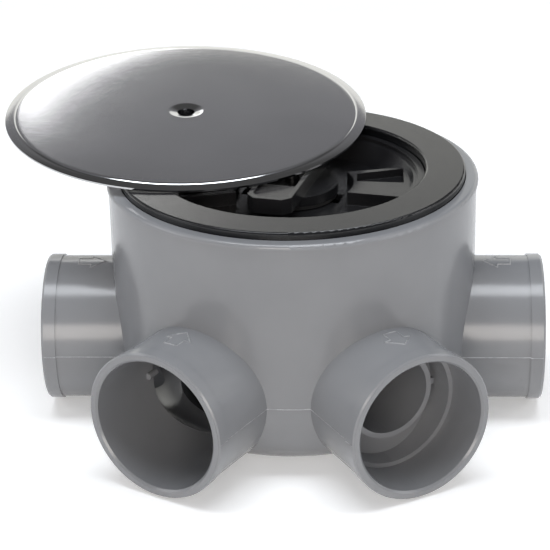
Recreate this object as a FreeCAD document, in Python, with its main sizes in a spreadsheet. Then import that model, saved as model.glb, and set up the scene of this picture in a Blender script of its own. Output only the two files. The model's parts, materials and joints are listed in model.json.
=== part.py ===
import FreeCAD, Part
import math
import os
import Sketcher

# Floor trap: a grey drum with six pipe sockets, a black ring and trap cup in its mouth,
# a turning access plug, and a stainless cover that leans on the ring and the plug's grip.
# The axis of the drum is Z, its flat base lies at Z = 0, and an inlet points along +X.

SIZES = {
    # pipe sockets; neck_inset is measured inwards from the drum's outside,
    # and stop_face from its inner wall
    "pipe_radius": 20.0,
    "pipe_clearance": 0.15,
    "socket_wall": 2.15,
    "collar_rise": 0.45,
    "collar_length": 4.3,
    "mouth_bevel": 0.6,
    "mouth_distance": 76.9,
    "axis_height": 23.4,
    "neck_inset": 1.0,
    "neck_taper": 0.6,
    "stop_face": 0.8,
    "stop_radius": 1.0,
    "stop_inset": 0.6,
    "stop_length": 4.0,
    # drum; shelf_top is measured down from the rim
    "rim_radius": 56.0,
    "drum_wall": 3.2,
    "rim_height": 75.5,
    "rim_lip": 0.5,
    "rim_lip_height": 1.6,
    "rim_round": 1.2,
    "base_round": 18.9,
    "base_thickness": 2.8,
    "shelf_top": 11.4,
    "shelf_thickness": 3.0,
    "shelf_width": 3.2,
    # outlet tube; outlet_seat is measured inwards from the drum's inner wall,
    # and weir_height up from the top of the bend
    "outlet_rise": 2.4,
    "outlet_radius": 13.8,
    "outlet_wall": 1.6,
    "outlet_fit": 0.1,
    "outlet_end": 59.1,
    "outlet_shoulder": 61.0,
    "outlet_shoulder_radius": 18.8,
    "outlet_funnel_depth": 12.0,
    "outlet_funnel_taper": 1.0,
    "outlet_back_wall": 2.4,
    "outlet_seat": 3.8,
    "outlet_collar_rise": 1.8,
    "outlet_collar_thickness": 2.0,
    "outlet_clearance": 0.3,
    "outlet_bend": 18.0,
    "weir_height": 2.7,
    # seals
    "seal_thickness": 1.2,
    "seal_width": 1.2,
    # frame ring
    "ring_clearance": 0.2,
    "ring_proud": 2.22,
    "ring_opening": 40.6,
    "ring_plate": 2.4,
    "ring_wall": 2.2,
    "ring_round": 0.7,
    "ledge_width": 1.7,
    "ledge_thickness": 2.0,
    # trap cup
    "cup_clearance": 0.3,
    "cup_rim_drop": 2.8,
    "cup_rim_thickness": 2.5,
    "cup_rim_width": 2.0,
    "cup_step_drop": 1.2,
    "cup_step_width": 1.3,
    "dish_depth": 9.7,
    "dish_radius": 32.7,
    "dish_floor": 2.0,
    "skirt_wall": 1.8,
    "skirt_gap": 0.4,
    "skirt_taper": 2.0,
    "skirt_lip": 5.5,
    "arch_clearance": 0.8,
    # slotted blocks of the cup
    "block_drop": 5.6,
    "block_root": 15.0,
    "block_tip": 18.7,
    "block_tip_half": 8.0,
    "block_flare": 0.27,
    "slot_start": 1.0,
    "slot_end": 15.3,
    "slot_near": 0.6,
    "slot_wall": 1.2,
    "slot_depth": 2.5,
    # access plug
    "spigot_radius": 12.4,
    "spigot_clearance": 0.1,
    "spigot_wall": 2.0,
    "spigot_length": 4.2,
    "hub_radius": 14.0,
    "plug_lift": 0.3,
    "lug_reach": 2.6,
    "lug_width": 6.4,
    "lug_thickness": 2.6,
    "lug_gap": 0.3,
    "bar_half_length": 27.0,
    "bar_width": 13.5,
    "bar_height": 4.8,
    "bar_drop": 0.4,
    "bar_corner": 2.4,
    "bar_rim": 1.3,
    "panel_depth": 0.7,
    "panel_length": 11.5,
    "well_depth": 3.4,
    "post_radius": 2.2,
    "post_rise": 2.2,
    "bar_angle": 76.0,
    "plug_turn": 90.0,
    # cover
    "cover_radius": 57.5,
    "cover_thickness": 1.0,
    "cover_bevel_width": 3.0,
    "cover_bevel_drop": 0.5,
    "cover_hole": 2.8,
    "dimple_foot": 0.8,
    "dimple_radius": 5.3,
    "dimple_sink": 0.7,
    "dimple_depth": 3.86,
    "cover_x": -34.9,
    "cover_y": 35.1,
    "lean_on_ring": 270.3,
    "lean_on_grip": 294.2,
    "rest_gap": 0.03,
    "grip_gap": 0.3,
}

SOCKET_ANGLES = [0, 60, 120, 180, 240, 300]
OUTLET_ANGLE = 300
STOP_SIDES = [-1, 1]
BLOCK_ANGLES = [0, 180]
EDGE_MATCH = 0.001
LEAN_ROUNDS = 3

doc = FreeCAD.newDocument("floor_trap")
sheet = doc.addObject("Spreadsheet::Sheet", "Sizes")


class Size:
    """A size with its spreadsheet expression and its present value."""

    def __init__(self, text, value):
        self.text = text
        self.value = value

    def __add__(self, other):
        other = as_size(other)
        return Size(f"({self.text} + {other.text})", self.value + other.value)

    def __sub__(self, other):
        other = as_size(other)
        return Size(f"({self.text} - {other.text})", self.value - other.value)

    def __mul__(self, other):
        other = as_size(other)
        return Size(f"({self.text} * {other.text})", self.value * other.value)

    def __neg__(self):
        return Size(f"(0 - {self.text})", -self.value)


def as_size(number):
    if isinstance(number, Size):
        return number
    return Size(f"({number:.9f})", float(number))


class Sheet:
    """The driving dimensions by name."""


def fill_sheet():
    sizes = Sheet()
    for row, (name, number) in enumerate(SIZES.items(), start=1):
        sheet.set(f"A{row}", name)
        sheet.set(f"B{row}", str(number))
        sheet.setAlias(f"B{row}", name)
        setattr(sizes, name, Size(f"Sizes.{name}", number))
    doc.recompute()
    return sizes


s = fill_sheet()
ZERO = Size("0", 0.0)


def bind(thing, **sizes):
    for name, size in sizes.items():
        thing.setExpression(name, as_size(size).text)


def place(thing, x=ZERO, y=ZERO, z=ZERO, rotation=FreeCAD.Rotation()):
    """Set a piece's rotation and tie its position to the sheet."""
    base = FreeCAD.Vector(as_size(x).value, as_size(y).value, as_size(z).value)
    thing.Placement = FreeCAD.Placement(base, rotation)
    for axis, size in zip("xyz", (x, y, z)):
        thing.setExpression(f"Placement.Base.{axis}", as_size(size).text)


def radial(angle):
    """The rotation that lays a piece's own Z along the level direction at this angle."""
    turn = FreeCAD.Rotation(FreeCAD.Vector(0, 0, 1), angle)
    return turn * FreeCAD.Rotation(FreeCAD.Vector(0, 1, 0), 90)


def along(angle, distance):
    """Level coordinates at a distance from the drum's axis."""
    turn = math.radians(angle)
    return distance * math.cos(turn), distance * math.sin(turn)


def cylinder(name, radius, height, x=ZERO, y=ZERO, z=ZERO, rotation=FreeCAD.Rotation()):
    thing = doc.addObject("Part::Cylinder", name)
    bind(thing, Radius=radius, Height=height)
    place(thing, x, y, z, rotation)
    return thing


def cone(name, radius1, radius2, height, x=ZERO, y=ZERO, z=ZERO, rotation=FreeCAD.Rotation()):
    thing = doc.addObject("Part::Cone", name)
    bind(thing, Radius1=radius1, Radius2=radius2, Height=height)
    place(thing, x, y, z, rotation)
    return thing


def fuse(name, *shapes):
    thing = doc.addObject("Part::MultiFuse", name)
    thing.Shapes = list(shapes)
    thing.Refine = True
    return thing


def cut(name, base, *tools):
    thing = doc.addObject("Part::Cut", name)
    thing.Base = base
    thing.Tool = tools[0] if len(tools) == 1 else fuse(name + "_tools", *tools)
    thing.Refine = True
    return thing


def common(name, first, second):
    thing = doc.addObject("Part::Common", name)
    thing.Base = first
    thing.Tool = second
    return thing


def draw_outline(body, plane, points):
    """A closed outline of straight lines whose corners are tied to the sheet."""
    outline = body.newObject("Sketcher::SketchObject", body.Name + "_outline")
    support = next(item for item in body.Origin.OriginFeatures if item.Role == plane)
    outline.AttachmentSupport = (support, [""])
    outline.MapMode = "FlatFace"
    corners = [FreeCAD.Vector(x.value, y.value, 0) for x, y in points]
    count = len(corners)
    for index in range(count):
        outline.addGeometry(Part.LineSegment(corners[index], corners[(index + 1) % count]), False)
    for index in range(count):
        outline.addConstraint(Sketcher.Constraint("Coincident", index, 2, (index + 1) % count, 1))
    for index, (x, y) in enumerate(points):
        pin_corner(outline, index, "DistanceX", -2, x)
        pin_corner(outline, index, "DistanceY", -1, y)
    return outline


def pin_corner(outline, index, direction, axis, size):
    if size is ZERO:
        outline.addConstraint(Sketcher.Constraint("PointOnObject", index, 1, axis))
        return
    rule = outline.addConstraint(Sketcher.Constraint(direction, -1, 1, index, 1, size.value))
    outline.setExpression(f"Constraints[{rule}]", size.text)


def turned(name, points):
    """A piece turned about Z from an outline of radius and height."""
    body = doc.addObject("PartDesign::Body", name)
    outline = draw_outline(body, "XZ_Plane", points)
    turning = body.newObject("PartDesign::Revolution", name + "_turned")
    turning.Profile = outline
    turning.ReferenceAxis = (outline, ["V_Axis"])
    turning.Angle = 360
    doc.recompute()
    return body


def prism(name, points, height, z, rotation=FreeCAD.Rotation()):
    """An upright prism on an outline of level coordinates."""
    body = doc.addObject("PartDesign::Body", name)
    outline = draw_outline(body, "XY_Plane", points)
    pad = body.newObject("PartDesign::Pad", name + "_pad")
    pad.Profile = outline
    bind(pad, Length=height)
    place(body, ZERO, ZERO, z, rotation)
    doc.recompute()
    return body


def round_circles(body, radius, *circles):
    """Round the circular edges that have these radii and heights."""
    base = body.Tip
    names = []
    for number, edge in enumerate(base.Shape.Edges, start=1):
        if not isinstance(edge.Curve, Part.Circle):
            continue
        for wanted_radius, height in circles:
            near_radius = abs(edge.Curve.Radius - wanted_radius.value) < EDGE_MATCH
            near_height = abs(edge.Curve.Center.z - height.value) < EDGE_MATCH
            if near_radius and near_height:
                names.append(f"Edge{number}")
    fillet = body.newObject("PartDesign::Fillet", f"{body.Name}_round{len(body.Group)}")
    fillet.Base = (base, names)
    bind(fillet, Radius=radius)
    doc.recompute()


def box_outline(x_low, x_high, y_low, y_high):
    return [(x_low, y_low), (x_high, y_low), (x_high, y_high), (x_low, y_high)]


def washer(name, inner, outer, thickness, **position):
    disc = cylinder(name + "_disc", outer, thickness, **position)
    hole = cylinder(name + "_hole", inner, thickness, **position)
    return cut(name, disc, hole)


# Heights and radii that several pieces share
bore_radius = s.pipe_radius + s.pipe_clearance
socket_radius = bore_radius + s.socket_wall
mouth_radius = s.rim_radius - s.drum_wall
socket_start = mouth_radius * 0.5
neck_end = s.rim_radius - s.neck_inset
ring_radius = mouth_radius - s.ring_clearance
ring_top = s.rim_height + s.ring_proud
shelf_height = s.rim_height - s.shelf_top
ring_bottom = shelf_height + s.seal_thickness
cup_rim_radius = s.ring_opening - s.cup_clearance
cup_rim_top = ring_top - s.cup_rim_drop
cup_rim_bottom = cup_rim_top - s.cup_rim_thickness
ledge_top = cup_rim_bottom - s.seal_thickness
ledge_radius = s.ring_opening - s.ledge_width
dish_top = ring_top - s.dish_depth
dish_under = dish_top - s.dish_floor
skirt_radius = ledge_radius - s.skirt_gap
skirt_lip_radius = skirt_radius - s.skirt_taper
throat_radius = s.spigot_radius + s.spigot_clearance
outlet_height = s.axis_height + s.outlet_rise
outlet_bore = s.outlet_radius - s.outlet_wall
outlet_hole = s.outlet_radius + s.outlet_fit
outlet_collar = s.outlet_radius + s.outlet_collar_rise
seat_distance = mouth_radius - s.outlet_seat
seal_end = seat_distance - s.seal_thickness
collar_end = seal_end - s.outlet_collar_thickness
bar_top = ring_top - s.bar_drop
hub_top = bar_top - s.bar_height
hub_bottom = dish_top + s.plug_lift + s.seal_thickness


def make_drum():
    lip_radius = s.rim_radius + s.rim_lip
    lip_bottom = s.rim_height - s.rim_lip_height
    drum = turned("drum", [
        (ZERO, ZERO),
        (s.rim_radius, ZERO),
        (s.rim_radius, lip_bottom),
        (lip_radius, lip_bottom),
        (lip_radius, s.rim_height),
        (ZERO, s.rim_height),
    ])
    round_circles(drum, s.base_round, (s.rim_radius, ZERO))
    round_circles(drum, s.rim_round, (lip_radius, s.rim_height))
    return drum


def make_chamber():
    """The hollow of the drum, with the shelf that carries the ring left standing."""
    shelf_bottom = shelf_height - s.shelf_thickness
    shelf_radius = mouth_radius - s.shelf_width
    chamber = turned("chamber", [
        (ZERO, s.base_thickness),
        (mouth_radius, s.base_thickness),
        (mouth_radius, shelf_bottom - s.shelf_width),
        (shelf_radius, shelf_bottom),
        (shelf_radius, shelf_height),
        (mouth_radius, shelf_height),
        (mouth_radius, s.rim_height),
        (ZERO, s.rim_height),
    ])
    round_circles(chamber, s.base_round - s.drum_wall, (mouth_radius, s.base_thickness))
    return chamber


def make_socket(angle):
    """The outside of one socket: its tube and the bevelled collar at its mouth."""
    collar_radius = socket_radius + s.collar_rise
    collar_start = s.mouth_distance - s.collar_length
    bevel_start = s.mouth_distance - s.mouth_bevel
    lie = radial(angle)
    x, y = along(angle, socket_start)
    tube = cylinder(f"tube_{angle}", socket_radius, s.mouth_distance - socket_start,
                    x, y, s.axis_height, lie)
    x, y = along(angle, collar_start)
    band = cylinder(f"collar_{angle}", collar_radius, s.collar_length - s.mouth_bevel,
                    x, y, s.axis_height, lie)
    x, y = along(angle, bevel_start)
    bevel = cone(f"bevel_{angle}", collar_radius, collar_radius - s.mouth_bevel, s.mouth_bevel,
                 x, y, s.axis_height, lie)
    return [tube, band, bevel]


def make_bore(angle):
    """The inside of one socket: a bore, and a neck that tapers through the drum's wall.

    The outlet's has a funnel for a neck, and the drum's wall closes it.
    """
    lie = radial(angle)
    lead_start = s.mouth_distance - s.mouth_bevel
    x, y = along(angle, lead_start)
    lead = cone(f"lead_{angle}", bore_radius, bore_radius + s.mouth_bevel, s.mouth_bevel,
                x, y, s.axis_height, lie)
    start = s.outlet_shoulder if angle == OUTLET_ANGLE else neck_end
    x, y = along(angle, start)
    bore = cylinder(f"bore_{angle}", bore_radius, s.mouth_distance - start, x, y, s.axis_height, lie)
    if angle != OUTLET_ANGLE:
        x, y = along(angle, socket_start)
        neck = cone(f"neck_{angle}", bore_radius - s.neck_taper, bore_radius, neck_end - socket_start,
                    x, y, s.axis_height, lie)
        return [bore, lead, neck]
    x, y = along(angle, s.outlet_shoulder - s.outlet_funnel_depth)
    funnel = cone("funnel_cone", s.outlet_shoulder_radius - s.outlet_funnel_taper,
                  s.outlet_shoulder_radius, s.outlet_funnel_depth, x, y, s.axis_height, lie)
    wall = cylinder("funnel_wall", mouth_radius + s.outlet_back_wall, s.rim_height)
    return [bore, lead, cut("outlet_funnel", funnel, wall)]


def make_stops(angle):
    """Two short pegs along the socket's sides, against which the pipe stops."""
    face = mouth_radius - s.stop_face
    wall = bore_radius
    if angle == OUTLET_ANGLE:
        face = face + s.drum_wall * 0.5
        wall = s.outlet_shoulder_radius - s.outlet_funnel_taper * 0.5
    x, y = along(angle, face - s.stop_length)
    pegs = []
    for side in STOP_SIDES:
        aside, beside = along(angle + 90 * side, wall - s.stop_inset)
        pegs.append(cylinder(f"stop_{angle}_{side + 1}", s.stop_radius, s.stop_length,
                             x + aside, y + beside, s.axis_height, radial(angle)))
    return pegs


def make_collar_room():
    """Room in front of the drum's wall for the elbow's collar and its seal."""
    start = collar_end - s.outlet_clearance
    x, y = along(OUTLET_ANGLE, start)
    return cylinder("collar_room", outlet_collar + s.outlet_clearance, seat_distance - start,
                    x, y, outlet_height, radial(OUTLET_ANGLE))


def make_body():
    outside = [make_drum()]
    inside = [make_chamber(), make_collar_room()]
    pegs = []
    for angle in SOCKET_ANGLES:
        outside.extend(make_socket(angle))
        inside.extend(make_bore(angle))
        pegs.extend(make_stops(angle))
    shell = cut("shell", fuse("outside", *outside), *inside)
    lie = radial(OUTLET_ANGLE)
    x, y = along(OUTLET_ANGLE, seat_distance)
    seat = cylinder("outlet_seat", outlet_collar, s.outlet_seat + s.drum_wall * 0.5,
                    x, y, outlet_height, lie)
    hole = cylinder("outlet_hole", outlet_hole, s.outlet_shoulder - seat_distance,
                    x, y, outlet_height, lie)
    return cut("body", fuse("shell_with_stops", shell, seat, *pegs), hole)


def make_outlet_elbow():
    """A tube through the drum's wall that turns up to a weir on the drum's axis."""
    lie = radial(OUTLET_ANGLE)
    turn = FreeCAD.Rotation(FreeCAD.Vector(0, 0, 1), OUTLET_ANGLE)
    upright = turn * FreeCAD.Rotation(FreeCAD.Vector(1, 0, 0), 90)
    bend_height = outlet_height + s.outlet_bend
    x, y = along(OUTLET_ANGLE, s.outlet_bend)

    def tube(name, radius):
        run = cylinder(f"{name}_run", radius, s.outlet_end - s.outlet_bend, x, y, outlet_height, lie)
        rise = cylinder(f"{name}_rise", radius, s.weir_height, z=bend_height)
        bend = doc.addObject("Part::Torus", f"{name}_bend")
        bind(bend, Radius1=s.outlet_bend, Radius2=radius)
        bend.Angle3 = 90
        back = upright * FreeCAD.Rotation(FreeCAD.Vector(0, 0, 1), 180)
        place(bend, x, y, bend_height, back)
        return fuse(name, run, bend, rise)

    collar_x, collar_y = along(OUTLET_ANGLE, collar_end)
    collar = cylinder("elbow_collar", outlet_collar, s.outlet_collar_thickness,
                      collar_x, collar_y, outlet_height, lie)
    outside = fuse("elbow_outside", tube("elbow_outer", s.outlet_radius), collar)
    return cut("outlet_elbow", outside, tube("elbow_inner", outlet_bore))


def make_outlet_seal():
    x, y = along(OUTLET_ANGLE, seal_end)
    return washer("outlet_seal", outlet_hole, outlet_collar, s.seal_thickness,
                  x=x, y=y, z=outlet_height, rotation=radial(OUTLET_ANGLE))


def make_frame_ring():
    inner_wall = s.ring_opening + s.ring_wall
    skirt_wall = ring_radius - s.ring_wall
    under_plate = ring_top - s.ring_plate
    ring = turned("frame_ring", [
        (s.ring_opening, ring_top),
        (ring_radius, ring_top),
        (ring_radius, ring_bottom),
        (skirt_wall, ring_bottom),
        (skirt_wall, under_plate),
        (inner_wall, under_plate),
        (inner_wall, ledge_top - s.ledge_thickness),
        (ledge_radius, ledge_top - s.ledge_thickness),
        (ledge_radius, ledge_top),
        (s.ring_opening, ledge_top),
    ])
    round_circles(ring, s.ring_round, (s.ring_opening, ring_top), (ring_radius, ring_top))
    return ring


def make_frame_seal():
    return washer("frame_seal", ring_radius - s.ring_wall, ring_radius, s.seal_thickness, z=shelf_height)


def make_cup_seal():
    return washer("cup_seal", ledge_radius, cup_rim_radius, s.seal_thickness, z=ledge_top)


def make_cup_shell():
    rim_inner = cup_rim_radius - s.cup_rim_width
    step_inner = rim_inner - s.cup_step_width
    step_height = cup_rim_top - s.cup_step_drop
    slope_under = step_height - s.dish_floor - s.skirt_wall
    return turned("cup_shell", [
        (cup_rim_radius, cup_rim_top),
        (cup_rim_radius, cup_rim_bottom),
        (skirt_radius, cup_rim_bottom),
        (skirt_lip_radius, s.skirt_lip),
        (skirt_lip_radius - s.skirt_wall, s.skirt_lip),
        (skirt_radius - s.skirt_wall, slope_under),
        (s.dish_radius, dish_under),
        (throat_radius, dish_under),
        (throat_radius, dish_top),
        (s.dish_radius, dish_top),
        (step_inner, step_height),
        (rim_inner, step_height),
        (rim_inner, cup_rim_top),
    ])


def make_block(angle):
    """A flared block on the dish floor, hollowed at its tip to clear the plug."""
    block_top = ring_top - s.block_drop
    height = block_top - dish_top + s.dish_floor * 0.5
    bottom = dish_top - s.dish_floor * 0.5
    turn = FreeCAD.Rotation(FreeCAD.Vector(0, 0, 1), angle)
    end_half = s.block_tip_half + (skirt_radius - s.block_tip) * s.block_flare
    wedge = prism(f"wedge_{angle}", [
        (s.block_root, -s.block_tip_half),
        (skirt_radius, -end_half),
        (skirt_radius, end_half),
        (s.block_root, s.block_tip_half),
    ], height, bottom, turn)
    limit = cylinder(f"limit_{angle}", skirt_radius - s.skirt_wall * 0.5, height, z=bottom)
    tip_clear = cylinder(f"tip_{angle}", s.block_tip, height, z=bottom)
    return cut(f"block_{angle}", common(f"trimmed_{angle}", wedge, limit), tip_clear)


def make_block_slot(angle):
    start = s.block_tip + s.slot_start
    end = s.block_tip + s.slot_end
    far = s.block_tip_half - s.slot_wall
    turn = FreeCAD.Rotation(FreeCAD.Vector(0, 0, 1), angle)
    return prism(f"slot_{angle}", [
        (start, s.slot_near),
        (end, -s.slot_near),
        (end, far + s.slot_end * s.block_flare),
        (start, far),
    ], s.slot_depth, ring_top - s.block_drop - s.slot_depth, turn)


def make_trap_cup():
    """The black dish and its skirt, with an arch over the outlet tube and two lug gates."""
    shell = make_cup_shell()
    blocks = [make_block(angle) for angle in BLOCK_ANGLES]
    arch_radius = s.outlet_radius + s.arch_clearance
    lie = radial(OUTLET_ANGLE)
    arch = cylinder("arch", arch_radius, mouth_radius, z=outlet_height, rotation=lie)
    turn = FreeCAD.Rotation(FreeCAD.Vector(0, 0, 1), OUTLET_ANGLE)
    gateway = prism("gateway", box_outline(ZERO, mouth_radius, -arch_radius, arch_radius),
                    outlet_height, ZERO, turn)
    gate_reach = throat_radius + s.lug_reach + s.lug_gap
    gate_half = s.lug_width * 0.5 + s.lug_gap
    gate_turn = FreeCAD.Rotation(FreeCAD.Vector(0, 0, 1), SIZES["bar_angle"] + SIZES["plug_turn"])
    gate = prism("lug_gate", box_outline(-gate_reach, gate_reach, -gate_half, gate_half),
                 s.dish_floor, dish_under, gate_turn)
    slots = [make_block_slot(angle) for angle in BLOCK_ANGLES]
    return cut("trap_cup", fuse("cup_with_blocks", shell, *blocks), arch, gateway, gate, *slots)


def make_grip_bar(turn):
    half_width = s.bar_width * 0.5
    inset = half_width - s.bar_corner
    shoulder = s.bar_half_length - s.bar_corner
    bar = prism("bar", [
        (-s.bar_half_length, -inset),
        (-shoulder, -half_width),
        (shoulder, -half_width),
        (s.bar_half_length, -inset),
        (s.bar_half_length, inset),
        (shoulder, half_width),
        (-shoulder, half_width),
        (-s.bar_half_length, inset),
    ], s.bar_height, hub_top, turn)
    panel_half = half_width - s.bar_rim
    panel_inset = inset - s.bar_rim
    panel_end = s.bar_half_length - s.bar_rim
    panel_shoulder = panel_end - s.bar_corner
    panel = prism("panel", [
        (-panel_end, -panel_inset),
        (-panel_shoulder, -panel_half),
        (panel_shoulder, -panel_half),
        (panel_end, -panel_inset),
        (panel_end, panel_inset),
        (panel_shoulder, panel_half),
        (-panel_shoulder, panel_half),
        (-panel_end, panel_inset),
    ], s.panel_depth, bar_top - s.panel_depth, turn)
    well_half = panel_end - s.panel_length
    well = prism("well", box_outline(-well_half, well_half, -panel_half, panel_half),
                 s.well_depth, bar_top - s.well_depth, turn)
    hollow = cut("hollow_bar", bar, panel, well)
    post = cylinder("post", s.post_radius, s.post_rise, z=bar_top - s.well_depth)
    return [hollow, post]


def make_access_plug():
    """The plug: a hub on a hollow spigot with two lugs below the dish and a grip bar on top."""
    turn = FreeCAD.Rotation(FreeCAD.Vector(0, 0, 1), SIZES["bar_angle"])
    spigot_bottom = dish_under - s.spigot_length
    hub = cylinder("hub", s.hub_radius, hub_top - hub_bottom, z=hub_bottom)
    spigot = cylinder("spigot", s.spigot_radius, hub_bottom - spigot_bottom, z=spigot_bottom)
    lug_end = s.spigot_radius + s.lug_reach
    lug_half = s.lug_width * 0.5
    lugs = prism("lugs", box_outline(-lug_end, lug_end, -lug_half, lug_half),
                 s.lug_thickness, dish_under - s.lug_gap - s.lug_thickness, turn)
    outside = fuse("plug_outside", hub, spigot, lugs, *make_grip_bar(turn))
    hollow = cylinder("plug_hollow", s.spigot_radius - s.spigot_wall,
                      hub_bottom - spigot_bottom, z=spigot_bottom)
    return cut("access_plug", outside, hollow)


def make_plug_seal():
    return washer("plug_seal", s.spigot_radius, s.spigot_radius + s.seal_width, s.seal_thickness,
                  z=dish_top + s.plug_lift)


def lean_cover(cover):
    """Rest the dimple's foot and the rim's lower edge on the ring, and the rim on the grip bar."""
    foot = s.dimple_depth.value
    rim_above_foot = foot - s.cover_bevel_drop.value
    directions = [math.radians(SIZES["lean_on_ring"]), math.radians(SIZES["lean_on_grip"])]
    reach = [(s.cover_radius.value * math.cos(a), s.cover_radius.value * math.sin(a)) for a in directions]
    foot_radius = SIZES["cover_hole"] + SIZES["dimple_foot"]
    lift = SIZES["rest_gap"]
    for _ in range(LEAN_ROUNDS):
        drops = [lift + rim_above_foot - SIZES["rest_gap"],
                 lift + rim_above_foot + SIZES["bar_drop"] - SIZES["grip_gap"]]
        determinant = reach[0][0] * reach[1][1] - reach[0][1] * reach[1][0]
        slope_x = (drops[1] * reach[0][1] - drops[0] * reach[1][1]) / determinant
        slope_y = (drops[0] * reach[1][0] - drops[1] * reach[0][0]) / determinant
        lift = SIZES["rest_gap"] + foot_radius * math.hypot(slope_x, slope_y)
    normal = FreeCAD.Vector(-slope_x, -slope_y, 1)
    rotation = FreeCAD.Rotation(FreeCAD.Vector(0, 0, 1), normal)
    underside = ring_top.value + lift + foot
    top = underside + s.cover_thickness.value
    cover.Placement = FreeCAD.Placement(FreeCAD.Vector(SIZES["cover_x"], SIZES["cover_y"], top), rotation)


def make_cover():
    """A disc with a bevelled rim and a sunk centre hole that runs on in a short foot below."""
    flat = s.cover_radius - s.cover_bevel_width
    foot = s.cover_hole + s.dimple_foot
    under = -s.cover_thickness
    cover = turned("cover", [
        (s.dimple_radius, ZERO),
        (flat, ZERO),
        (s.cover_radius, -s.cover_bevel_drop),
        (s.cover_radius, under - s.cover_bevel_drop),
        (flat, under),
        (foot, under),
        (foot, under - s.dimple_depth),
        (s.cover_hole, under - s.dimple_depth),
        (s.cover_hole, -s.dimple_sink),
    ])
    lean_cover(cover)
    return cover


parts = {
    "body": make_body(),
    "outlet_elbow": make_outlet_elbow(),
    "outlet_seal": make_outlet_seal(),
    "frame_ring": make_frame_ring(),
    "frame_seal": make_frame_seal(),
    "cup_seal": make_cup_seal(),
    "trap_cup": make_trap_cup(),
    "access_plug": make_access_plug(),
    "plug_seal": make_plug_seal(),
    "cover": make_cover(),
}

doc.recompute()
for item in doc.Objects:
    if "Invalid" in item.State or "Error" in item.State:
        raise RuntimeError(f"{item.Name} failed: {item.State}")
for name, item in parts.items():
    item.Label = name
    if item.Shape.isNull() or not item.Shape.isValid():
        raise RuntimeError(f"{name} has no valid shape")

os.makedirs("parts", exist_ok=True)
for name, item in parts.items():
    item.Shape.exportStep(f"parts/{name}.step")
    print(name, len(item.Shape.Solids), round(item.Shape.Volume, 1))
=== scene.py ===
import bmesh
import bpy
import json
import math
from mathutils import Matrix, Quaternion, Vector


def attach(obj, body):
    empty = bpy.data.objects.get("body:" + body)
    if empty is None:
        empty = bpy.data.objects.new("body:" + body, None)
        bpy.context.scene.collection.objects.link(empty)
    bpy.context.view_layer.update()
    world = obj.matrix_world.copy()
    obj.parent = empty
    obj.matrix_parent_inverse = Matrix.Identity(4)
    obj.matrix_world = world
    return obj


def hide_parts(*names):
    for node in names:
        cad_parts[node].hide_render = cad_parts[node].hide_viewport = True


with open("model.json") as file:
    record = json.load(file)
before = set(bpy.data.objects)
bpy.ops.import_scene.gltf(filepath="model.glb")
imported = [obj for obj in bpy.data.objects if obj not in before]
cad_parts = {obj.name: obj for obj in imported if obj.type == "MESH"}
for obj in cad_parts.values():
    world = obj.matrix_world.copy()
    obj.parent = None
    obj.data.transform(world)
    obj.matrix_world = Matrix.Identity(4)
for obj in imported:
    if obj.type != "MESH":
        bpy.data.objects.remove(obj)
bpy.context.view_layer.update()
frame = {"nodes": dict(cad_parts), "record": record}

MM = 0.001

# Photograph: a square frame, and the pixel where the socket plane meets the drum's axis
FRAME_PIXELS = 550
FOCAL_PIXELS = 2016.5
AXIS_PIXEL = (293.68, 325.81)
VIEW_ELEVATION = math.radians(25.914)
VIEW_TURN = math.radians(2.05)
VIEW_ROLL = math.radians(-0.85)
VIEW_DISTANCE = 0.6361
SENSOR_MM = 36.0
CLIP_START = 0.01

# Sizes of the part that the moulded details follow
SOCKET_AXIS = 23.4 * MM
SOCKET_PITCH = 60
SOCKET_ANGLES = range(0, 360, SOCKET_PITCH)
OUTLET_ANGLE = 300
DRUM_RADIUS = 56.0 * MM
TUBE_RADIUS = 22.3 * MM
COLLAR_RADIUS = 22.75 * MM
COLLAR_START = 72.6 * MM
BEVEL_START = 76.3 * MM

# Moulded lines: a low ridge sunk a little into its wall, with a flat top narrower than its foot
RIDGE_ROOT = 0.05 * MM
RIDGE_TOP_SHARE = 0.45
SEAM_WIDTH = 0.32 * MM
SEAM_RISE = 0.10 * MM
SEAM_STEPS = 16

# Flow arrow: distances from the drum's axis, and half widths
ARROW_WIDTH = 0.45 * MM
ARROW_RISE = 0.16 * MM
ARROW_TAIL = 67.0 * MM
ARROW_NECK = 63.0 * MM
ARROW_TIP = 58.4 * MM
ARROW_SHAFT = 2.2 * MM
ARROW_HEAD = 4.2 * MM
ARROW_STEPS = 8

# Cover: its outline as radius and height from the middle of its top, in millimetres.
# The top rolls off a little towards a rounded step, a bevel and a thin edge.
COVER_SHEET = 1.0
COVER_HOLE = 2.8
COVER_SINK = 0.7
COVER_SINK_RADIUS = 5.3
COVER_SINK_ROUND = 0.3
COVER_SINK_LIP = 0.10
COVER_FOOT = 3.6
COVER_FOOT_END = -4.86
COVER_TOP_RADIUS = 54.0
COVER_TOP_RINGS = [10, 16, 22, 28, 33, 38, 42, 45, 48, 50, 52, 53]
COVER_ROLL = 0.17
COVER_ROLL_POWER = 5.4
COVER_EDGE = [
    (54.2, -0.20),
    (54.45, -0.42),
    (54.7, -0.50),
    (55.2, -0.55),
    (57.25, -0.80),
    (57.5, -0.88),
    (57.5, -1.40),
    (57.35, -1.47),
    (54.5, -COVER_SHEET),
]
COVER_SEGMENTS = 256
FLAT_COSINE = 0.9999

# Edges sharper than these angles, in degrees, stay crisp
CAD_CREASE = 30
COVER_CREASE = 32
RIDGE_CREASE = 40

# Surfaces: how deep their skin and grain run, and the rounded look of moulded edges
SKIN_DEPTH = 0.2 * MM
GRAIN_DEPTH = 0.1 * MM
GRAIN_STRETCH = (0.03, 1.0, 1.0)
PLASTIC_EDGE = 0.15 * MM
PLASTIC_EDGE_SAMPLES = 8

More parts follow.
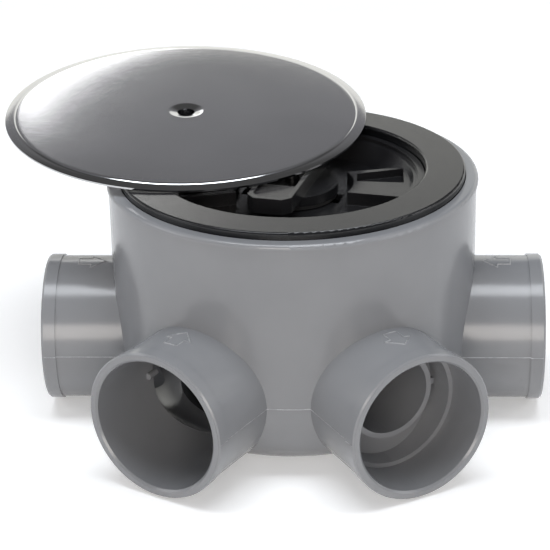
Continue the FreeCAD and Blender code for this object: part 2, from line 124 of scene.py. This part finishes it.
# Studio: its even fill light, what mirrors see of the backdrop behind the part
# by the sine of the elevation, and the floor with its own glow
FILL = (0.20, 0.205, 0.22, 1.0)
BACKDROP = [
    (0.388, (1.22, 1.22, 1.16)),
    (0.402, (0.32, 0.32, 0.33)),
    (0.46, (0.26, 0.26, 0.275)),
    (0.56, (0.20, 0.20, 0.205)),
    (0.64, (0.09, 0.09, 0.09)),
    (1.0, (0.09, 0.09, 0.09)),
]
BACKDROP_EDGE = (0.15, 0.45)
FLOOR_HALF = 3.0
FLOOR_COLOUR = (0.88, 0.88, 0.88, 1.0)
FLOOR_ROUGHNESS = 0.9
FLOOR_GLOW = 0.3
FLOOR_GLOW_COLOUR = (1.0, 1.0, 1.0, 1.0)
NEUTRAL = (1.0, 1.0, 1.0)
COOL = (0.92, 0.96, 1.0)
WARM = (1.0, 0.94, 0.88)


def new_material(name):
    """A node material, with its tree and main shader."""
    material = bpy.data.materials.new(name)
    material.use_nodes = True
    tree = material.node_tree
    return material, tree, tree.nodes["Principled BSDF"]


def object_coordinates(tree):
    return tree.nodes.new("ShaderNodeTexCoord").outputs["Object"]


def noise(tree, coordinates, scale, detail=3.0):
    """A cloud pattern of 0 to 1."""
    texture = tree.nodes.new("ShaderNodeTexNoise")
    texture.inputs["Scale"].default_value = scale
    texture.inputs["Detail"].default_value = detail
    tree.links.new(coordinates, texture.inputs["Vector"])
    return texture.outputs["Fac"]


def ramp(tree, factor, stops):
    """Colours by position along a ramp."""
    node = tree.nodes.new("ShaderNodeValToRGB")
    while len(node.color_ramp.elements) < len(stops):
        node.color_ramp.elements.new(0.5)
    for element, (position, colour) in zip(node.color_ramp.elements, stops):
        element.position = position
        element.color = (*colour, 1.0)
    tree.links.new(factor, node.inputs["Fac"])
    return node.outputs["Color"]


def span(tree, factor, low, high):
    """Map a factor of 0 to 1 onto another range."""
    node = tree.nodes.new("ShaderNodeMapRange")
    node.inputs["To Min"].default_value = low
    node.inputs["To Max"].default_value = high
    tree.links.new(factor, node.inputs["Value"])
    return node.outputs["Result"]


def bump(tree, shader, height, strength, distance):
    """A fine skin of this height."""
    node = tree.nodes.new("ShaderNodeBump")
    node.inputs["Strength"].default_value = strength
    node.inputs["Distance"].default_value = distance
    tree.links.new(height, node.inputs["Height"])
    tree.links.new(node.outputs["Normal"], shader.inputs["Normal"])
    return node


def round_edges(tree, skin, radius):
    """Let sharp edges catch the light as if rounded, under the skin's bump."""
    rounded = tree.nodes.new("ShaderNodeBevel")
    rounded.samples = PLASTIC_EDGE_SAMPLES
    rounded.inputs["Radius"].default_value = radius
    tree.links.new(rounded.outputs["Normal"], skin.inputs["Normal"])


def grey_pvc():
    """Satin moulded PVC with faint flow clouds and a fine skin."""
    material, tree, shader = new_material("grey_pvc")
    place = object_coordinates(tree)
    clouds = noise(tree, place, scale=38.0)
    colour = ramp(tree, clouds, [
        (0.25, (0.205, 0.210, 0.221)),
        (0.75, (0.231, 0.236, 0.247)),
    ])
    tree.links.new(colour, shader.inputs["Base Color"])
    haze = noise(tree, place, scale=140.0)
    tree.links.new(span(tree, haze, 0.17, 0.23), shader.inputs["Roughness"])
    skin = noise(tree, place, scale=2600.0, detail=2.0)
    bump(tree, shader, skin, strength=0.05, distance=SKIN_DEPTH)
    return material


def ridge_highlight_pvc():
    """The tops of moulded lines, painted paler than the wall around them as a painted highlight in
    broken patches.
    """
    material, tree, shader = new_material("ridge_highlight_pvc")
    highlight_patches = noise(tree, object_coordinates(tree), scale=420.0)
    # Painted highlight: noise patches lift the ridge tops to a paler grey, standing in for light
    # caught on them.
    colour = ramp(tree, highlight_patches, [
        (0.46, (0.225, 0.23, 0.24)),
        (0.58, (0.34, 0.345, 0.355)),
    ])
    tree.links.new(colour, shader.inputs["Base Color"])
    tree.links.new(span(tree, highlight_patches, 0.35, 0.22), shader.inputs["Roughness"])
    return material


def black_plastic():
    """Black moulded plastic with an uneven gloss."""
    material, tree, shader = new_material("black_plastic")
    place = object_coordinates(tree)
    clouds = noise(tree, place, scale=60.0)
    colour = ramp(tree, clouds, [
        (0.3, (0.010, 0.010, 0.011)),
        (0.7, (0.015, 0.015, 0.016)),
    ])
    tree.links.new(colour, shader.inputs["Base Color"])
    haze = noise(tree, place, scale=220.0)
    tree.links.new(span(tree, haze, 0.20, 0.28), shader.inputs["Roughness"])
    grain = noise(tree, place, scale=2200.0, detail=2.0)
    skin = bump(tree, shader, grain, strength=0.06, distance=SKIN_DEPTH)
    round_edges(tree, skin, PLASTIC_EDGE)
    return material


def rubber():
    """Matt black rubber with a coarse skin."""
    material, tree, shader = new_material("rubber")
    place = object_coordinates(tree)
    clouds = noise(tree, place, scale=300.0)
    colour = ramp(tree, clouds, [
        (0.3, (0.016, 0.016, 0.016)),
        (0.7, (0.026, 0.026, 0.026)),
    ])
    tree.links.new(colour, shader.inputs["Base Color"])
    tree.links.new(span(tree, clouds, 0.6, 0.8), shader.inputs["Roughness"])
    skin = noise(tree, place, scale=1800.0)
    bump(tree, shader, skin, strength=0.2, distance=SKIN_DEPTH)
    return material


def brushed_steel():
    """Stainless sheet with a fine grain along one direction."""
    material, tree, shader = new_material("brushed_steel")
    place = object_coordinates(tree)
    stretch = tree.nodes.new("ShaderNodeMapping")
    stretch.inputs["Scale"].default_value = GRAIN_STRETCH
    tree.links.new(place, stretch.inputs["Vector"])
    grain = noise(tree, stretch.outputs["Vector"], scale=5200.0, detail=2.0)
    clouds = noise(tree, place, scale=24.0)
    colour = ramp(tree, clouds, [
        (0.3, (0.50, 0.50, 0.51)),
        (0.7, (0.56, 0.56, 0.57)),
    ])
    tree.links.new(colour, shader.inputs["Base Color"])
    shader.inputs["Metallic"].default_value = 1.0
    tree.links.new(span(tree, grain, 0.08, 0.13), shader.inputs["Roughness"])
    bump(tree, shader, grain, strength=0.05, distance=GRAIN_DEPTH)
    return material


def smooth(mesh, crease):
    """Shade a mesh smooth, apart from edges sharper than the crease angle in degrees."""
    for polygon in mesh.polygons:
        polygon.use_smooth = True
    mesh.set_sharp_from_angle(angle=math.radians(crease))


def dress_nodes():
    """Give each CAD node the finish of its material slot, and smooth shading."""
    for row in frame["record"]["subparts"]:
        materials = frame["nodes"][row["node"]].data.materials
        materials.clear()
        materials.append(finish[row["material_slot"]])
    for node in frame["nodes"].values():
        smooth(node.data, CAD_CREASE)


def new_object(name, data):
    """An object of this data, linked into the scene."""
    thing = bpy.data.objects.new(name, data)
    bpy.context.scene.collection.objects.link(thing)
    return thing


def new_piece(name, shape, material, crease):
    """An object of the scene from a finished bmesh."""
    bmesh.ops.recalc_face_normals(shape, faces=shape.faces)
    mesh = bpy.data.meshes.new(name)
    shape.to_mesh(mesh)
    shape.free()
    piece = new_object(name, mesh)
    mesh.materials.append(material)
    smooth(mesh, crease)
    return piece


def add_ridge(shape, path, width, rise, closed):
    """One ridge along a path of points and wall normals."""
    count = len(path)
    sections = []
    for index, (point, normal) in enumerate(path):
        if closed:
            before, after = path[index - 1][0], path[(index + 1) % count][0]
        else:
            before, after = path[max(index - 1, 0)][0], path[min(index + 1, count - 1)][0]
        side = normal.cross(after - before).normalized() * (width / 2)
        foot = normal * -RIDGE_ROOT
        top = normal * rise
        corners = [
            point - side + foot,
            point - side * RIDGE_TOP_SHARE + top,
            point + side * RIDGE_TOP_SHARE + top,
            point + side + foot,
        ]
        sections.append([shape.verts.new(corner) for corner in corners])
    spans = count if closed else count - 1
    for index in range(spans):
        first, second = sections[index], sections[(index + 1) % count]
        for corner in range(len(first)):
            following = (corner + 1) % len(first)
            shape.faces.new((first[corner], second[corner], second[following], first[following]))
    if not closed:
        shape.faces.new(sections[0])
        shape.faces.new(reversed(sections[-1]))


def add_ridges(name, paths, width, rise, closed):
    """Low ridges along several paths, as one piece on the base."""
    shape = bmesh.new()
    for path in paths:
        add_ridge(shape, path, width, rise, closed)
    # The ridges take the material with the painted highlight on their tops.
    piece = new_piece(name, shape, painted_ridge_highlight, RIDGE_CREASE)
    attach(piece, "base")


def socket_axes(angle):
    """A socket's outward, sideways and upward directions."""
    turn = math.radians(angle)
    outward = Vector((math.cos(turn), math.sin(turn), 0))
    return outward, Vector((-outward.y, outward.x, 0)), Vector((0, 0, 1))


def on_socket(angle, distance, lean, radius):
    """A point of a socket's wall and its normal, at an angle round from its side."""
    outward, sideways, upward = socket_axes(angle)
    normal = sideways * math.cos(lean) + upward * math.sin(lean)
    centre = outward * distance + upward * SOCKET_AXIS
    return centre + normal * radius, normal


def add_parting_lines():
    """The mould's parting line at the height of the socket axes."""
    tube_start = math.sqrt(DRUM_RADIUS ** 2 - TUBE_RADIUS ** 2)
    tube_angle = math.degrees(math.asin(TUBE_RADIUS / DRUM_RADIUS))
    free_angle = SOCKET_PITCH - 2 * tube_angle
    paths = []
    for angle in SOCKET_ANGLES:
        arc = []
        for step in range(SEAM_STEPS + 1):
            normal = socket_axes(angle + tube_angle + free_angle * step / SEAM_STEPS)[0]
            arc.append((normal * DRUM_RADIUS + Vector((0, 0, SOCKET_AXIS)), normal))
        paths.append(arc)
        for lean in (0, math.pi):
            paths.append([on_socket(angle, distance, lean, TUBE_RADIUS)
                          for distance in (tube_start, COLLAR_START)])
            paths.append([on_socket(angle, distance, lean, COLLAR_RADIUS)
                          for distance in (COLLAR_START, BEVEL_START)])
    add_ridges("parting_lines", paths, SEAM_WIDTH, SEAM_RISE, closed=False)


def add_flow_arrows():
    """A raised outline of an arrow on top of each socket, towards the flow."""
    outline = [
        (ARROW_TAIL, ARROW_SHAFT),
        (ARROW_NECK, ARROW_SHAFT),
        (ARROW_NECK, ARROW_HEAD),
        (ARROW_TIP, 0.0),
        (ARROW_NECK, -ARROW_HEAD),
        (ARROW_NECK, -ARROW_SHAFT),
        (ARROW_TAIL, -ARROW_SHAFT),
    ]
    paths = []
    for angle in SOCKET_ANGLES:
        path = []
        for index, (start, across) in enumerate(outline):
            end, next_across = outline[(index + 1) % len(outline)]
            for step in range(ARROW_STEPS):
                part = step / ARROW_STEPS
                distance = start + (end - start) * part
                if angle == OUTLET_ANGLE:
                    distance = ARROW_TAIL + ARROW_TIP - distance
                lean = math.pi / 2 + (across + (next_across - across) * part) / TUBE_RADIUS
                path.append(on_socket(angle, distance, lean, TUBE_RADIUS))
        paths.append(path)
    add_ridges("flow_arrows", paths, ARROW_WIDTH, ARROW_RISE, closed=True)


def cover_axis():
    """The middle of the cover's flat top and the direction it faces."""
    polygons = frame["nodes"]["cover"].data.polygons
    facing = max((p for p in polygons if p.normal.z > 0), key=lambda p: p.area).normal.copy()
    flat = [p for p in polygons if p.normal.dot(facing) > FLAT_COSINE]
    area = sum(p.area for p in flat)
    middle = sum((p.center * p.area for p in flat), Vector()) / area
    return middle, facing


def cover_outline():
    """The cover's section: sunk hole, rolled top, edge and underside, round to the hole again."""
    sink_rings = [COVER_SINK_RADIUS + COVER_SINK_ROUND, COVER_SINK_RADIUS + 2 * COVER_SINK_ROUND]
    outline = [(COVER_HOLE, -COVER_SINK), (COVER_SINK_RADIUS - COVER_SINK_ROUND, -COVER_SINK_LIP)]
    for radius in [*sink_rings, *COVER_TOP_RINGS, COVER_TOP_RADIUS]:
        outline.append((radius, -COVER_ROLL * (radius / COVER_TOP_RADIUS) ** COVER_ROLL_POWER))
    outline += COVER_EDGE
    outline += [
        (COVER_FOOT, -COVER_SHEET),
        (COVER_FOOT, COVER_FOOT_END),
        (COVER_HOLE, COVER_FOOT_END),
    ]
    return outline


def add_cover():
    """The stainless cover turned from its section, in the place of the plain disc."""
    middle, facing = cover_axis()
    across = facing.orthogonal().normalized()
    along = facing.cross(across)
    shape = bmesh.new()
    rings = []
    for radius, height in cover_outline():
        ring = []
        for step in range(COVER_SEGMENTS):
            turn = 2 * math.pi * step / COVER_SEGMENTS
            spoke = across * math.cos(turn) + along * math.sin(turn)
            ring.append(shape.verts.new(middle + (spoke * radius + facing * height) * MM))
        rings.append(ring)
    for index, ring in enumerate(rings):
        following = rings[(index + 1) % len(rings)]
        for step in range(COVER_SEGMENTS):
            beside = (step + 1) % COVER_SEGMENTS
            shape.faces.new((ring[step], following[step], following[beside], ring[beside]))
    piece = new_piece("brushed_cover", shape, finish["steel"], COVER_CREASE)
    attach(piece, "base")
    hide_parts("cover")
    return piece


def add_camera():
    """Look at the drum's axis so that it lands on its pixel of the photograph."""
    target = Vector((0, 0, SOCKET_AXIS))
    back = Vector((0, -math.cos(VIEW_ELEVATION), math.sin(VIEW_ELEVATION)))
    forward = -back
    right = Vector((1, 0, 0))
    up = right.cross(forward)
    middle = FRAME_PIXELS / 2
    pitch = math.atan((AXIS_PIXEL[1] - middle) / FOCAL_PIXELS)
    yaw = math.atan((AXIS_PIXEL[0] - middle) / FOCAL_PIXELS * math.cos(pitch))
    raised = forward * math.cos(pitch) + up * math.sin(pitch)
    up = up * math.cos(pitch) - forward * math.sin(pitch)
    ahead = raised * math.cos(yaw) - right * math.sin(yaw)
    right = right * math.cos(yaw) + raised * math.sin(yaw)
    across = right * math.cos(VIEW_ROLL) + up * math.sin(VIEW_ROLL)
    up = up * math.cos(VIEW_ROLL) - right * math.sin(VIEW_ROLL)
    data = bpy.data.cameras.new("camera")
    data.sensor_width = SENSOR_MM
    data.lens = FOCAL_PIXELS / FRAME_PIXELS * SENSOR_MM
    data.clip_start = CLIP_START
    camera = new_object("camera", data)
    facing = Matrix((across, up, -ahead)).transposed().to_4x4()
    facing.translation = back * VIEW_DISTANCE
    turn = Matrix.Rotation(VIEW_TURN, 4, "Z")
    camera.matrix_world = Matrix.Translation(target) @ turn @ facing
    bpy.context.scene.camera = camera


def seen_factor(tree):
    """One for camera, glossy and transmission rays, which see the studio's pale surroundings."""
    path = tree.nodes.new("ShaderNodeLightPath")
    seen = path.outputs["Is Camera Ray"]
    for name in ("Is Glossy Ray", "Is Transmission Ray"):
        either = tree.nodes.new("ShaderNodeMath")
        either.operation = "MAXIMUM"
        tree.links.new(seen, either.inputs[0])
        tree.links.new(path.outputs[name], either.inputs[1])
        seen = either.outputs["Value"]
    return seen


def add_floor():
    """A pale floor that keeps the part's shadow and shows white to the camera."""
    mesh = bpy.data.meshes.new("floor")
    half = FLOOR_HALF
    corners = [(-half, -half, 0), (half, -half, 0), (half, half, 0), (-half, half, 0)]
    mesh.from_pydata(corners, [], [(0, 1, 2, 3)])
    floor = new_object("floor", mesh)
    material, tree, shader = new_material("pale_floor")
    shader.inputs["Base Color"].default_value = FLOOR_COLOUR
    shader.inputs["Roughness"].default_value = FLOOR_ROUGHNESS
    shader.inputs["Emission Color"].default_value = FLOOR_GLOW_COLOUR
    glow = span(tree, seen_factor(tree), 0.0, FLOOR_GLOW)
    tree.links.new(glow, shader.inputs["Emission Strength"])
    mesh.materials.append(material)


def add_world():
    """An even fill, in which mirrors see a pale backdrop low behind the part and a dim ceiling."""
    world = bpy.data.worlds.new("studio")
    world.use_nodes = True
    bpy.context.scene.world = world
    tree = world.node_tree
    split = tree.nodes.new("ShaderNodeSeparateXYZ")
    direction = tree.nodes.new("ShaderNodeTexCoord").outputs["Generated"]
    tree.links.new(direction, split.inputs["Vector"])
    behind = tree.nodes.new("ShaderNodeMapRange")
    start, full = BACKDROP_EDGE
    behind.inputs["From Min"].default_value = start
    behind.inputs["From Max"].default_value = full
    tree.links.new(split.outputs["Y"], behind.inputs["Value"])
    share = tree.nodes.new("ShaderNodeMath")
    share.operation = "MULTIPLY"
    tree.links.new(behind.outputs["Result"], share.inputs[0])
    tree.links.new(seen_factor(tree), share.inputs[1])
    mix = tree.nodes.new("ShaderNodeMix")
    mix.data_type = "RGBA"
    tree.links.new(share.outputs["Value"], mix.inputs["Factor"])
    mix.inputs["A"].default_value = FILL
    tree.links.new(ramp(tree, split.outputs["Z"], BACKDROP), mix.inputs["B"])
    tree.links.new(mix.outputs["Result"], tree.nodes["Background"].inputs["Color"])


def add_area_light(name, place, aim, size, power, colour=NEUTRAL, roll=0.0):
    """A rectangular lamp that faces its aim, rolled by some degrees about that line."""
    data = bpy.data.lights.new(name, "AREA")
    data.shape = "RECTANGLE"
    data.size, data.size_y = size
    data.energy = power
    data.color = colour
    light = new_object(name, data)
    direction = Vector(aim) - Vector(place)
    light.location = place
    turn = Quaternion((0, 0, 1), math.radians(roll))
    light.rotation_euler = (direction.to_track_quat("-Z", "Y") @ turn).to_euler()
    return light


def keep_off(light, pieces):
    """Leave shiny pieces out of a light, so that it isn't mirrored in them."""
    receivers = bpy.data.collections.new(light.name + "_receivers")
    for piece in pieces:
        receivers.objects.link(piece)
    light.light_linking.receiver_collection = receivers
    for entry in receivers.collection_objects:
        entry.light_linking.link_state = "EXCLUDE"


def add_lights(shiny):
    """Soft lamps above, in front and at the sides, and a slanted panel that the cover mirrors."""
    add_area_light("top_softbox", place=(0.0, -0.13, 1.2), aim=(0, -0.02, 0),
                   size=(1.1, 0.38), power=10.5, colour=COOL)
    front = add_area_light("front_softbox", place=(0.0, -1.5, 0.42), aim=(0, 0, 0.03),
                           size=(1.0, 0.65), power=12.4, colour=WARM)
    for name, side in (("left_softbox", -1), ("right_softbox", 1)):
        add_area_light(name, place=(side * 1.2, -0.1, 0.75), aim=(0, 0, 0.04),
                       size=(0.7, 0.5), power=2.6)
    add_area_light("back_panel", place=(-0.251, 1.3, 0.60), aim=(-0.07, 0.07, 0.084),
                   size=(0.26, 0.12), power=0.27, roll=42)
    keep_off(front, shiny)


finish = {
    "pvc_grey": grey_pvc(),
    "black_plastic": black_plastic(),
    "rubber": rubber(),
    "steel": brushed_steel(),
}
# Material of the moulded lines, with a painted highlight on their tops.
painted_ridge_highlight = ridge_highlight_pvc()
dress_nodes()

add_parting_lines()
add_flow_arrows()
cover = add_cover()

add_floor()
add_world()
add_lights([cover, frame["nodes"]["frame_ring"]])
add_camera()
bpy.context.scene.view_settings.view_transform = "Standard"
